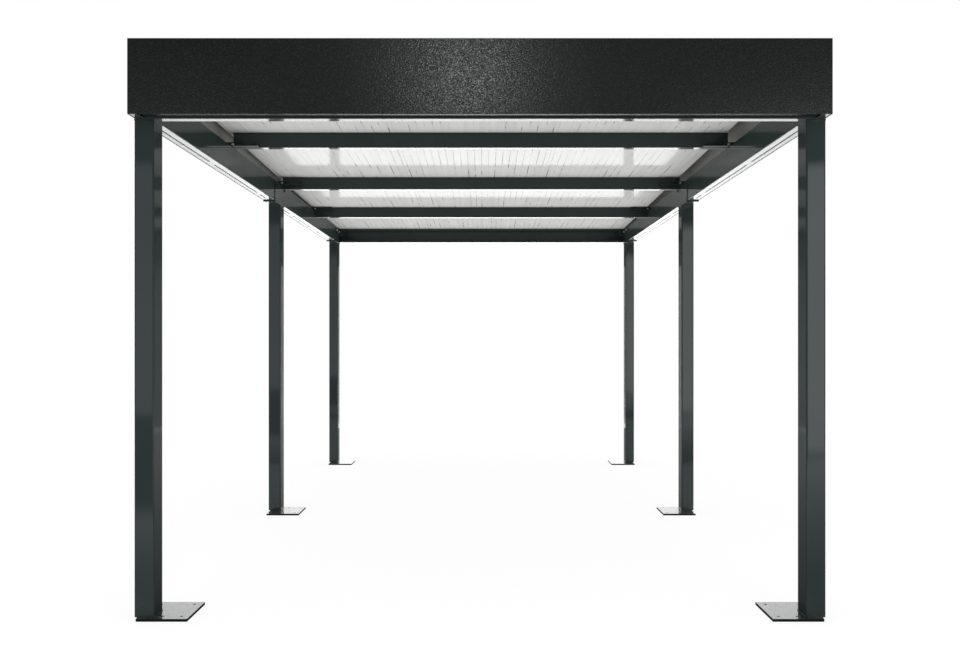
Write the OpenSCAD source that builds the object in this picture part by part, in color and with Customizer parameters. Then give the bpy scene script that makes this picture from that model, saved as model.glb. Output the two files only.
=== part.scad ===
// Open carport. Six posts on base plates carry a level frame of steel beams,
// purlins in the frame carry a roof of lined panels that falls to the rear,
// and a deep folded fascia hides the roof on all four sides.
// Millimetres, +Z up, ground at z = 0. X runs across, and the front faces -Y.
// Lengthwise places are distances from the front of the frame, see from_front().

/* [Overall] */
// Width over the outer faces of the side beams
frame_w = 2970; // [2400:10:3600]
// Length from the front of the front beam to the back of the rear beam
frame_l = 5050; // [4200:10:6200]
// Clear height from the ground to the underside of the beams
clear_h = 2160; // [1800:5:2700]

/* [Posts] */
// Post width, across the carport
post_w = 85; // [60:1:100]
// How far the posts stand out past the side beams
post_out = 5; // [0:1:15]
// Post depth, along the carport
post_d = 108; // [80:1:140]
// Wall of the post tube
post_wall = 3; // [2:0.5:5]
// Outer corner radius of the post tube
post_r = 7; // [5.5:0.5:10]
// How far the middle posts stand ahead of the middle purlin
middle_post_lead = 83; // [0:1:150]

/* [Base plates] */
// Base plate width, across the carport
plate_w = 220; // [200:1:300]
// Base plate length, along the carport
plate_l = 250; // [230:1:320]
// Base plate thickness
plate_t = 12; // [6:0.5:15]
// How far the plate's outer edge is set in from the post's outer face
plate_inset = 15; // [0:1:20]
// How far the plate's short side stands out past the post
plate_toe = 22; // [10:1:40]
// Diameter of the anchor bolt holes
anchor_d = 13; // [10:0.5:18]
// Distance between the anchor holes along the carport
anchor_pitch = 175; // [140:1:200]
// Distance from the plate's inner edge to the inner pair of holes
anchor_edge = 35; // [25:1:45]
// Distance from the inner pair to the hole beside the post
anchor_step = 80; // [50:1:90]
// Distance from the inner pair to the hole behind the post
anchor_far_step = 150; // [120:1:165]

/* [Top plates] */
// Thickness of the plates on the posts
top_t = 8; // [5:0.5:12]
// How far a top plate reaches ahead of a middle or rear post
top_reach = 152; // [40:1:240]
// How far a top plate stands out on a post's other side
top_toe = 20; // [0:1:40]

/* [Side beams] */
// Side beam width
beam_w = 75; // [60:1:80]
// Height of the side beams
beam_h = 145; // [120:1:200]
// Wall of the beams
beam_wall = 3; // [2:0.5:5]
// Outer corner radius of the beams
beam_r = 4; // [3.5:0.5:8]
// Gap at the splice between two lengths of side beam
splice_gap = 2; // [1:0.5:5]
// Width of the drain slots under the side beams
slot_w = 4; // [2:0.5:8]
// Distance from one bridge between drain slots to the next
slot_pitch = 1000; // [500:10:1500]
// Length of the bridge between two drain slots
slot_bridge = 90; // [40:1:150]
// Distance from the front of the frame to the first bridge
first_bridge = 978; // [300:1:1200]

/* [Cross members] */
// Depth of the front beam, the rear beam and the purlins along the carport
cross_d = 50; // [40:1:80]
// Height of a purlin
purlin_h = 86; // [60:1:110]
// Wall of a purlin
purlin_wall = 2.5; // [1.5:0.5:4]
// How far the rear beam's underside lies above the side beams' undersides
rear_lift = 10; // [0:1:30]
// Lip of the rear beam's open side
rear_lip = 22; // [10:1:40]

/* [Angles] */
// Length of a purlin angle, across the carport
angle_l = 202; // [120:1:260]
// Length of a purlin angle that lies on the side beam
angle_seat = 55; // [30:1:58]
// Gap between the roof and the upright legs of the rear purlin's angles
angle_play = 0.5; // [0.2:0.1:10]
// Flat leg of a purlin angle
angle_flat = 40; // [25:1:60]
// Thickness of the angles and cleats
angle_t = 4; // [3:0.5:6]
// Leg of a rear cleat along the side beam
cleat_l = 190; // [100:1:240]
// Leg of a rear cleat along the rear beam
cleat_leg = 60; // [40:1:100]
// Height of a rear cleat
cleat_h = 72; // [50:1:100]

/* [Roof] */
// Fall of the roof to the rear, in mm for each metre
roof_fall = 22.5; // [10:0.5:24]
// Thickness of a roof panel between its ribs
panel_t = 30; // [20:1:36]
// Height of the ribs on top of a roof panel
rib_h = 16; // [8:1:18]
// Width of a rib at its foot
rib_w = 50; // [30:1:70]
// Distance between the lining's grooves
groove_pitch = 45; // [30:1:80]
// Width of a groove
groove_w = 3; // [1:0.5:6]
// Depth of a groove
groove_d = 1.2; // [0.4:0.1:3]
// Width of the middle roof panel, the outer ones are cut to fit
panel_w = 950; // [600:1:1000]
// How far the middle roof panel lies to the left of the carport's middle
panel_shift = 38; // [0:1:60]
// Gap between two roof panels
panel_gap = 1; // [0.5:0.5:4]
// Distance from the roof's left edge to the side beam's outer face
left_gap = 45; // [20:1:60]
// Distance from the roof's right edge to the side beam's outer face
right_gap = 82; // [20:1:95]
// How far the roof runs past the frame at the front
roof_front = 55; // [20:1:58]
// How far the roof runs past the frame at the rear
roof_rear = 36; // [15:1:50]

/* [Fascia] */
// How far the fascia's top stands above the highest rib of the roof
fascia_rise = 14; // [6:1:100]
// Thickness of the fascia sheet
sheet_t = 2; // [1:0.5:3]
// How far the fascia stands off the frame at each end
end_gap = 80; // [65:1:140]
// Width of the fascia's top return
top_return = 60; // [20:1:90]
// Width of the bottom return under a side beam
side_return = 38; // [20:1:45]
// Width of the bottom return at the front and rear
end_return = 23; // [15:1:45]
// How far the rear fascia's lower edge is raised above the beams' undersides
rear_raise = 30; // [5:1:40]
// Distance from the front of the middle posts to the joint in the side fascia
joint_setback = 33; // [0:1:80]
// Play between two fascia sheets
sheet_play = 1; // [0.5:0.5:3]
// Number of straps that hold the front fascia
strap_count = 4; // [2:1:6]
// Width of a strap
strap_w = 40; // [20:1:60]
// Height of a strap's end tabs
strap_h = 40; // [20:1:60]

/* [Gutter] */
// Height of the gutter
gutter_h = 80; // [50:1:95]
// Gap from the gutter to the roof above it
gutter_drop = 18; // [5:1:40]

/* [Hidden] */
$fn = 48;
steel = [0.19, 0.23, 0.22];
black = [0.13, 0.14, 0.14];
lining = [0.86, 0.87, 0.85];
cut = 1;                                  // how far a cut starts outside the piece
half_w = frame_w / 2;
post_outer = half_w + post_out;
beam_top = clear_h + beam_h;
beam_inner = half_w - beam_w;
purlin_count = 3;
bay = (frame_l - cross_d) / (purlin_count + 1);
rear_post = frame_l - cross_d - post_d;
middle_post = 2 * bay - middle_post_lead;
splice = middle_post - top_reach;
fascia_joint = middle_post + joint_setback;
slot_x = half_w + sheet_t - side_return - slot_w;
roof_angle = atan(roof_fall / 1000);
edge_rise = beam_r * (1 / cos(roof_angle) - 1);   // a slope on a round edge passes this much higher
panel_edges = [                           // left and right edge of each roof panel
    [left_gap - half_w, -panel_shift - panel_w / 2 - panel_gap],
    [-panel_shift - panel_w / 2, -panel_shift + panel_w / 2],
    [-panel_shift + panel_w / 2 + panel_gap, half_w - right_gap]
];
roof_l = (frame_l + roof_front + roof_rear) / cos(roof_angle);
angle_up = roof_under(purlin_front(purlin_count)) - beam_top - angle_play;
fascia_top = roof_under(-roof_front) + panel_t + rib_h + fascia_rise;
fascia_h = fascia_top - clear_h;

// Lengthwise place in the row of something at distance d from the frame's front
function from_front(d) = d - frame_l / 2;

// Distance from the frame's front to the front face of the posts in a row
function post_front(row) = row == "front" ? 0 : row == "middle" ? middle_post : rear_post;

// Height of the roof's underside at distance d: it meets the rear ends of the side beams
function roof_under(d) = beam_top + (frame_l - d) * roof_fall / 1000;

// Top of a beam or purlin whose round back edge meets the roof, with its front face at distance d
function member_top(d) = roof_under(d + cross_d - beam_r) - edge_rise;

// Distance from the frame's front to the front face of purlin number n
function purlin_front(n) = n * bay;

// Pieces are drawn on the right and mirrored to the left
module on_side(side) {
    mirror([side == "left" ? 1 : 0, 0, 0])
        children();
}

// The front posts' plates point back, the others point forward
module turned(row, d) {
    translate([0, from_front(d), 0])
        mirror([0, row == "front" ? 0 : 1, 0])
            children();
}

// Extrudes an (X, Z) outline along the carport from distance a to distance b
module along(a, b) {
    translate([0, from_front(b), 0])
        rotate([90, 0, 0])
            linear_extrude(b - a)
                children();
}

// Extrudes a (Y, Z) outline across the carport from x = a to x = b
module across(a, b) {
    translate([a, 0, 0])
        rotate([90, 0, 90])
            linear_extrude(b - a)
                children();
}

// Solid rectangle with round corners, its low corner at the origin
module round_rect(w, h, r) {
    translate([r, 0])
        square([w - 2 * r, h]);
    translate([0, r])
        square([w, h - 2 * r]);
    for (x = [r, w - r], y = [r, h - r])
        translate([x, y])
            circle(r);
}

// Outline of a rectangular tube, its low corner at the origin
module tube_outline(w, h, r, wall) {
    difference() {
        round_rect(w, h, r);
        translate([wall, wall])
            round_rect(w - 2 * wall, h - 2 * wall, r - wall);
    }
}

module post(row, side) {
    color(steel)
        on_side(side)
            translate([post_outer - post_w, from_front(post_front(row)), plate_t])
                linear_extrude(clear_h - top_t - plate_t)
                    tube_outline(post_w, post_d, post_r, post_wall);
}

// Drawn with the short side of the plate at the front and the post's face at y = 0
module base_plate(row, side) {
    inner = post_outer - plate_inset - plate_w;
    near = (plate_l - anchor_pitch) / 2 - plate_toe;
    holes = [[0, near], [0, near + anchor_pitch], [anchor_step, near],
             [anchor_far_step, near + anchor_pitch]];
    color(steel)
        on_side(side)
            turned(row, post_front(row) + (row == "front" ? 0 : post_d))
                difference() {
                    translate([inner, -plate_toe, 0])
                        cube([plate_w, plate_l, plate_t]);
                    for (hole = holes)
                        translate([inner + anchor_edge + hole[0], hole[1], -cut])
                            cylinder(d = anchor_d, h = plate_t + 2 * cut);
                }
}

// A front post's plate only covers the post, the others reach ahead under the beam
module top_plate(row, side) {
    reach = row == "front" ? 0 : top_reach;
    toe = row == "front" ? 0 : top_toe;
    color(steel)
        on_side(side)
            turned(row, post_front(row) + (row == "front" ? 0 : post_d))
                translate([post_outer - post_w, -toe, clear_h - top_t])
                    cube([post_w, toe + post_d + reach, top_t]);
}

// Box section with a rebate for the fascia's bottom return
module side_beam_outline() {
    difference() {
        translate([beam_inner, clear_h])
            round_rect(beam_w, beam_h, beam_r);
        translate([slot_x + slot_w, clear_h - cut])
            square([beam_w, sheet_t + cut]);
        translate([beam_inner + beam_wall, clear_h + sheet_t + beam_wall])
            square([beam_w - 2 * beam_wall, beam_h - sheet_t - 2 * beam_wall]);
    }
}

module side_beam(part, side) {
    a = part == "front" ? cross_d : splice + splice_gap / 2;
    b = part == "front" ? splice - splice_gap / 2 : frame_l;
    last = ceil(frame_l / slot_pitch);
    color(steel)
        on_side(side)
            difference() {
                along(a, b)
                    side_beam_outline();
                for (n = [0 : last]) {
                    low = max(a + slot_bridge, first_bridge + (n - 1) * slot_pitch + slot_bridge / 2);
                    high = min(b - slot_bridge, first_bridge + n * slot_pitch - slot_bridge / 2);
                    if (high > low)
                        translate([slot_x, from_front(low), clear_h - cut])
                            cube([slot_w, high - low, sheet_t + beam_wall + 2 * cut]);
                }
            }
}

// Full-width box section, with the same rebate at each end as the side beams
module front_beam() {
    color(steel)
        difference() {
            across(-half_w, half_w)
                translate([from_front(0), clear_h])
                    tube_outline(cross_d, member_top(0) - clear_h, beam_r, beam_wall);
            for (side = ["left", "right"])
                on_side(side)
                    translate([slot_x + slot_w, from_front(-cut), clear_h - cut])
                        cube([beam_w, cross_d + 2 * cut, sheet_t + cut]);
        }
}

// Channel with its open, lipped side to the front
module rear_beam() {
    h = beam_h - rear_lift;
    color(steel)
        across(-beam_inner, beam_inner)
            translate([from_front(frame_l - cross_d), beam_top - h])
                difference() {
                    round_rect(cross_d, h, beam_r);
                    translate([beam_wall, beam_wall])
                        square([cross_d - 2 * beam_wall, h - 2 * beam_wall]);
                    translate([-cut, rear_lip])
                        square([cut + 2 * beam_wall, h - 2 * rear_lip]);
                }
}

module purlin(n) {
    low = member_top(purlin_front(n)) - purlin_h;
    color(steel)
        across(-beam_inner, beam_inner)
            translate([from_front(purlin_front(n)), low])
                tube_outline(cross_d, purlin_h, beam_r, purlin_wall);
}

// Steel angle on top of the side beam, with its upright leg against the purlin
module purlin_angle(n, side) {
    x = beam_inner + angle_seat - angle_l;
    y = from_front(purlin_front(n));
    color(steel)
        on_side(side)
            union() {
                translate([x, y - angle_flat, beam_top])
                    cube([angle_l, angle_flat, angle_t]);
                translate([x, y - angle_t, beam_top])
                    cube([angle_l, angle_t, angle_up]);
            }
}

// Corner cleat between a side beam and the rear beam
module rear_cleat(side) {
    y = from_front(frame_l - cross_d);
    z = beam_top - beam_r - cleat_h;
    color(steel)
        on_side(side)
            union() {
                translate([beam_inner - angle_t, y - cleat_l, z])
                    cube([angle_t, cleat_l, cleat_h]);
                translate([beam_inner - cleat_leg, y - angle_t, z])
                    cube([cleat_leg, angle_t, cleat_h]);
            }
}

// Underside of a panel of width w, left to right, with a groove at each pitch
function lining_points(w) = [
    for (x = [groove_pitch / 2 : groove_pitch : w - groove_w], p = [-1, 0, 1])
        [x + p * groove_w / 2, p == 0 ? groove_d : 0]
];

// Top of a panel of width w, right to left, with three ribs
function rib_points(w) = [
    for (n = [2, 1, 0], p = [[1, 0], [0.5, 1], [-0.5, 1], [-1, 0]])
        [(n + 0.5) * w / 3 + p[0] * rib_w / 2, panel_t + p[1] * rib_h]
];

// Panel number n from the left, laid on the rear beam and tilted up to the front
module roof_panel(n) {
    w = panel_edges[n][1] - panel_edges[n][0];
    outline = concat([[0, 0]], lining_points(w), [[w, 0], [w, panel_t]], rib_points(w), [[0, panel_t]]);
    color(lining)
        translate([panel_edges[n][0], from_front(frame_l), roof_under(frame_l)])
            rotate([-roof_angle, 0, 0])
                translate([0, roof_rear, 0])
                    rotate([90, 0, 0])
                        linear_extrude(roof_l)
                            polygon(outline);
}

// Folded sheet: an upright face with returns at the top and the bottom.
// The face's outer side is at x = 0 and the returns run towards -X.
module fascia_outline(low, high, bottom) {
    polygon([
        [0, low], [0, high], [-top_return, high], [-top_return, high - sheet_t],
        [-sheet_t, high - sheet_t], [-sheet_t, low + sheet_t],
        [-bottom, low + sheet_t], [-bottom, low]
    ]);
}

module side_fascia(part, side) {
    a = part == "front" ? -end_gap : fascia_joint + sheet_play / 2;
    b = part == "front" ? fascia_joint - sheet_play / 2 : frame_l + end_gap;
    color(black)
        on_side(side)
            along(a, b)
                translate([half_w + sheet_t, 0])
                    fascia_outline(clear_h, fascia_top, side_return);
}

// The returns of an end fascia stop short of the side fascias' returns
module end_fascia(low) {
    outer = half_w + sheet_t;
    intersection() {
        across(-outer, outer)
            rotate([0, 180, 0])
                translate([end_gap + sheet_t, 0])
                    fascia_outline(low, fascia_top, end_return + sheet_t);
        union() {
            translate([-outer, -end_gap - sheet_t, low])
                cube([2 * outer, sheet_t, fascia_h]);
            translate([-outer + top_return + sheet_play, -end_gap - sheet_t, low])
                cube([2 * (outer - top_return - sheet_play), end_gap + sheet_t, fascia_h]);
        }
    }
}

module front_fascia() {
    color(black)
        translate([0, from_front(0), 0])
            end_fascia(clear_h);
}

module rear_fascia() {
    color(black)
        translate([0, from_front(frame_l), 0])
            mirror([0, 1, 0])
                end_fascia(clear_h + rear_raise);
}

// Folded straps between the front beam and the front fascia
module front_fascia_straps() {
    z = member_top(0) - strap_h - beam_r;
    span = 2 * half_w / strap_count;
    color(steel)
        for (n = [0 : strap_count - 1])
            translate([(n + 0.5) * span - half_w - strap_w / 2, from_front(-end_gap), z]) {
                cube([strap_w, end_gap, angle_t]);
                cube([strap_w, angle_t, strap_h]);
                translate([0, end_gap - angle_t, 0])
                    cube([strap_w, angle_t, strap_h]);
            }
}

// Box gutter with closed ends, between the rear beam and the rear fascia
module gutter() {
    z = beam_top - gutter_drop - gutter_h;
    color(black)
        translate([-half_w, from_front(frame_l), z])
            difference() {
                cube([2 * half_w, end_gap, gutter_h]);
                translate([sheet_t, sheet_t, sheet_t])
                    cube([2 * half_w - 2 * sheet_t, end_gap - 2 * sheet_t, gutter_h]);
            }
}

post("front", "left");  // front_left_post
post("front", "right");  // front_right_post
post("middle", "left");  // middle_left_post
post("middle", "right");  // middle_right_post
post("rear", "left");  // rear_left_post
post("rear", "right");  // rear_right_post
base_plate("front", "left");  // front_left_base_plate
base_plate("front", "right");  // front_right_base_plate
base_plate("middle", "left");  // middle_left_base_plate
base_plate("middle", "right");  // middle_right_base_plate
base_plate("rear", "left");  // rear_left_base_plate
base_plate("rear", "right");  // rear_right_base_plate
top_plate("front", "left");  // front_left_top_plate
top_plate("front", "right");  // front_right_top_plate
top_plate("middle", "left");  // middle_left_top_plate
top_plate("middle", "right");  // middle_right_top_plate
top_plate("rear", "left");  // rear_left_top_plate
top_plate("rear", "right");  // rear_right_top_plate
side_beam("front", "left");  // front_left_side_beam
side_beam("front", "right");  // front_right_side_beam
side_beam("rear", "left");  // rear_left_side_beam
side_beam("rear", "right");  // rear_right_side_beam
front_beam();
rear_beam();
purlin(1);  // front_purlin
purlin(2);  // middle_purlin
purlin(3);  // rear_purlin
purlin_angle(1, "left");  // front_purlin_left_angle
purlin_angle(1, "right");  // front_purlin_right_angle
purlin_angle(2, "left");  // middle_purlin_left_angle
purlin_angle(2, "right");  // middle_purlin_right_angle
purlin_angle(3, "left");  // rear_purlin_left_angle
purlin_angle(3, "right");  // rear_purlin_right_angle
rear_cleat("left");  // left_rear_cleat
rear_cleat("right");  // right_rear_cleat
roof_panel(0);  // left_roof_panel
roof_panel(1);  // centre_roof_panel
roof_panel(2);  // right_roof_panel
front_fascia();
rear_fascia();
side_fascia("front", "left");  // front_left_side_fascia
side_fascia("front", "right");  // front_right_side_fascia
side_fascia("rear", "left");  // rear_left_side_fascia
side_fascia("rear", "right");  // rear_right_side_fascia
front_fascia_straps();
gutter();
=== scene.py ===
"""Looks for the open carport: coatings, welds, bolts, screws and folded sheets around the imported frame.

Metres, in the frame's own axes: X across, -Y to the front, +Z up, ground at z = 0.
"""

import math

import bmesh
import bpy
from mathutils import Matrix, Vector

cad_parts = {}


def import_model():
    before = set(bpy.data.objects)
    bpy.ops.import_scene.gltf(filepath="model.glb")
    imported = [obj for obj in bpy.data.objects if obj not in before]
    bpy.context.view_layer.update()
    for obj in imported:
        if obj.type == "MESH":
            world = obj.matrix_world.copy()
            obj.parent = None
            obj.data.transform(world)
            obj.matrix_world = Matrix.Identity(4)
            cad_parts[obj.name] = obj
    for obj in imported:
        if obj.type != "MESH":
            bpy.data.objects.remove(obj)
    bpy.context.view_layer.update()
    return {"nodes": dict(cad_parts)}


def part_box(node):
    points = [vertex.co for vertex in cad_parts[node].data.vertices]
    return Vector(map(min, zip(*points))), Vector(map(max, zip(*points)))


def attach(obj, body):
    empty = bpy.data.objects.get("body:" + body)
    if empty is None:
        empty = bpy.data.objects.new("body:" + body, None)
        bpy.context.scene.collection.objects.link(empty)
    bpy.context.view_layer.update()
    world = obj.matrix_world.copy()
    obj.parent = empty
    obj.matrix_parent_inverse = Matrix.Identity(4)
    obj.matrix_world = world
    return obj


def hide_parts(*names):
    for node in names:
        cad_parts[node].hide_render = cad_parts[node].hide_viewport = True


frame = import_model()
nodes = frame["nodes"]

ROWS = ("front", "middle", "rear")
SIDES = ("left", "right")
PURLINS = [f"{row}_purlin" for row in ROWS]
ROOF_PANELS = ("left_roof_panel", "centre_roof_panel", "right_roof_panel")
SIDE_FASCIAS = [f"{part}_{side}_side_fascia" for part in ("front", "rear") for side in SIDES]

# Roof: fall for each metre, panel thickness, the lining's grooves and gloss, and the ribs on top
ROOF_FALL = 0.0225
PANEL_THICKNESS = 0.030
GROOVE_PITCH = 0.045
GROOVE_WIDTH = 0.0045
RIB_HEIGHT = 0.016
LINING_GLOSS = 0.17

# Fasteners
BOLT_ACROSS = 0.013
SCREW_ACROSS = 0.008
RIVET_RADIUS = 0.004

# Welds: how far the bead's middle stands off the plates, and how far it stops short of a post's sides
BEAD_OFF = 0.0008
FOOT_BEAD_STOP = 0.012
TOP_BEAD_STOP = 0.009

# Angles and cleats: thickness, and the places of the bolts and screws on them and at the splices
ANGLE_THICKNESS = 0.004
BOLT_RISE = 0.0145
ANGLE_SCREWS = (0.040, 0.126)
CLEAT_BOLTS = (0.023, 0.164)
SPLICE_SCREWS = (0.040, 0.295)

# Eased edges of the top plates, the thinner steel and the straps
PLATE_EASE = 0.0008
SHEET_EASE = 0.0006
STRAP_EASE = 0.0005

# Posts: corner radius. Base plates: the anchor holes' distance from the ends, and from the inner edge
POST_CORNER = 0.007
HOLE_SETBACK = 0.0375
INNER_HOLES = 0.035
BESIDE_HOLE = 0.115
OUTER_HOLE = 0.185

# Side beams: slots below, drawn as strips of painted shadow, with bridges measured from the frame's front,
# and the dark strips at their splices
SLOT_MIDDLE = 1.450
SLOT_SHADOW_WIDTH = 0.008
SLOT_SHADOW_DEPTH = 0.0012
SHORTEST_SLOT_SHADOW = 0.03
FIRST_BRIDGE = 0.978
BRIDGE_PITCH = 1.0
BRIDGES = 5
HALF_BRIDGE = 0.045
PLAIN_END = 0.090
SEAM_STRIP_WIDTH = 0.036

# Fascia sheets, the covers over their joints, and the x of the flashings' upper part
FOLD_RADIUS = 0.0012
COVER_WIDTH = 0.05
COVER_THICKNESS = 0.0012
SIDE_RIVETS = 11
END_RIVETS = 7
FLASHING_TOP = (1.434, 1.452)


# ---------------------------------------------------------------------------
# Node graph helpers
# ---------------------------------------------------------------------------

def add_node(tree, kind, inputs=None, **settings):
    """Adds a node, sets its properties, and links or sets the inputs given by name or number."""
    made = tree.nodes.new(kind)
    for key, value in settings.items():
        setattr(made, key, value)
    for key, value in (inputs or {}).items():
        if isinstance(value, bpy.types.NodeSocket):
            tree.links.new(value, made.inputs[key])
        else:
            made.inputs[key].default_value = value
    return made


def new_material(name):
    made = bpy.data.materials.new(name)
    made.use_nodes = True
    made.node_tree.nodes.clear()
    return made


def object_place(tree):
    return add_node(tree, "ShaderNodeTexCoord").outputs["Object"]


def coordinates(tree, place):
    """The x, y and z of a place."""
    return add_node(tree, "ShaderNodeSeparateXYZ", {0: place}).outputs[:3]


def noise(tree, place, scale, detail=3.0, roughness=0.5, stretch=None):
    """Noise factor, on places scaled first by stretch where it is given."""
    if stretch:
        place = add_node(tree, "ShaderNodeMapping", {"Vector": place, "Scale": stretch}).outputs[0]
    made = add_node(tree, "ShaderNodeTexNoise",
                    {"Vector": place, "Scale": scale, "Detail": detail, "Roughness": roughness})
    return made.outputs[0]


def remap(tree, value, low, high, to_low=0.0, to_high=1.0):
    return add_node(tree, "ShaderNodeMapRange",
                    {"Value": value, "From Min": low, "From Max": high,
                     "To Min": to_low, "To Max": to_high}).outputs[0]


def math_node(tree, operation, a, b=0.0, c=0.0):
    return add_node(tree, "ShaderNodeMath", {0: a, 1: b, 2: c}, operation=operation).outputs[0]


def blend(tree, factor, a, b):
    return add_node(tree, "ShaderNodeMix", {0: factor, 2: a, 3: b}).outputs[0]


def blend_colour(tree, factor, a, b):
    return add_node(tree, "ShaderNodeMix", {0: factor, 6: a, 7: b}, data_type="RGBA").outputs[2]


def bump(tree, height, strength, distance, normal=None):
    inputs = {"Height": height, "Strength": strength, "Distance": distance}
    if normal:
        inputs["Normal"] = normal
    return add_node(tree, "ShaderNodeBump", inputs).outputs[0]


def finish_with(tree, inputs):
    """Ends the graph in one Principled shader with these inputs."""
    shader = add_node(tree, "ShaderNodeBsdfPrincipled", inputs)
    add_node(tree, "ShaderNodeOutputMaterial", {"Surface": shader.outputs[0]})


# ---------------------------------------------------------------------------
# Finishes
# ---------------------------------------------------------------------------

def gloss_coating(name, dark, light, gloss=0.45, dust=0.0, zone=None, zone_shade=None):
    """Glossy dark green-grey paint on steel: cloudy colour, orange peel and a little dust near the ground.

    zone is (axis, limit, gloss): where the coordinate on that axis lies within the limit, either side of
    nought, the paint is that glossy and takes the zone's dark colour where one is given, which paints shade
    there.
    """
    made = new_material(name)
    tree = made.node_tree
    place = object_place(tree)
    clouds = noise(tree, place, 2.2, 5.0, 0.6)
    specks = noise(tree, place, 240.0, 2.0, 0.7)
    colour = blend_colour(tree, remap(tree, clouds, 0.35, 0.7), dark, light)
    colour = blend_colour(tree, remap(tree, specks, 0.66, 0.78, 0.0, 0.35), colour, (0.09, 0.10, 0.095, 1))
    if dust:
        low = remap(tree, coordinates(tree, place)[2], 0.0, 0.16, dust, 0.0)
        patches = remap(tree, noise(tree, place, 22.0, 6.0, 0.65), 0.38, 0.68)
        dusty = math_node(tree, "MULTIPLY", low, patches)
        colour = blend_colour(tree, dusty, colour, (0.16, 0.155, 0.145, 1))
    if zone:
        axis, limit, zone_gloss = zone
        away = math_node(tree, "ABSOLUTE", coordinates(tree, place)[axis])
        within = math_node(tree, "LESS_THAN", away, limit)
        gloss = remap(tree, within, 0.0, 1.0, gloss, zone_gloss)
        # Painted shade: the zone takes its dark colour where one is given.
        if zone_shade:
            colour = blend_colour(tree, within, colour, zone_shade)
    peel = noise(tree, place, 420.0, 2.0, 0.5)
    waves = noise(tree, place, 7.0, 2.0, 0.5)
    normal = bump(tree, waves, 0.06, 0.004, bump(tree, peel, 0.05, 0.0006))
    finish_with(tree, {
        "Base Color": colour, "Roughness": remap(tree, clouds, 0.3, 0.7, 0.42, 0.55), "Normal": normal,
        "Specular IOR Level": 0.05, "Coat Weight": gloss, "Coat Roughness": 0.03, "Coat IOR": 1.5,
        "Coat Normal": normal,
    })
    return made


def grained_coating(name):
    """Coarse-grained black coating of the fascia sheets, with fine sparkle."""
    made = new_material(name)
    tree = made.node_tree
    place = object_place(tree)
    clouds = noise(tree, place, 1.4, 4.0, 0.6)
    grain = noise(tree, place, 165.0, 1.5, 0.5)
    fine = noise(tree, place, 520.0, 2.0, 0.6)
    cells = add_node(tree, "ShaderNodeTexVoronoi", {"Vector": place, "Scale": 270.0})
    shade = coordinates(tree, cells.outputs["Color"])[0]
    colour = blend_colour(tree, remap(tree, clouds, 0.3, 0.7), (0.0030, 0.0050, 0.0042, 1),
                          (0.0046, 0.0070, 0.0060, 1))
    colour = blend_colour(tree, remap(tree, shade, 0.72, 1.0, 0.0, 0.9), colour, (0.015, 0.021, 0.019, 1))
    normal = bump(tree, fine, 0.10, 0.0006, bump(tree, grain, 0.30, 0.0015))
    finish_with(tree, {
        "Base Color": colour, "Roughness": remap(tree, shade, 0.0, 1.0, 0.36, 0.17),
        "Specular IOR Level": remap(tree, shade, 0.25, 1.0, 0.34, 0.60), "Normal": normal,
    })
    return made


def back_coat(name):
    """Thin beige-grey coat on the fascia's hidden side."""
    made = new_material(name)
    tree = made.node_tree
    place = object_place(tree)
    patches = noise(tree, place, 5.0, 5.0, 0.6)
    roll_marks = noise(tree, place, 30.0, 2.0, 0.5, (1.0, 0.04, 1.0))
    colour = blend_colour(tree, patches, (0.33, 0.333, 0.318, 1), (0.42, 0.42, 0.40, 1))
    colour = blend_colour(tree, remap(tree, roll_marks, 0.45, 0.6, 0.0, 0.2), colour, (0.20, 0.20, 0.19, 1))
    finish_with(tree, {
        "Base Color": colour, "Roughness": 0.42, "Specular IOR Level": 0.5,
        "Normal": bump(tree, roll_marks, 0.1, 0.001),
    })
    return made


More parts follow.
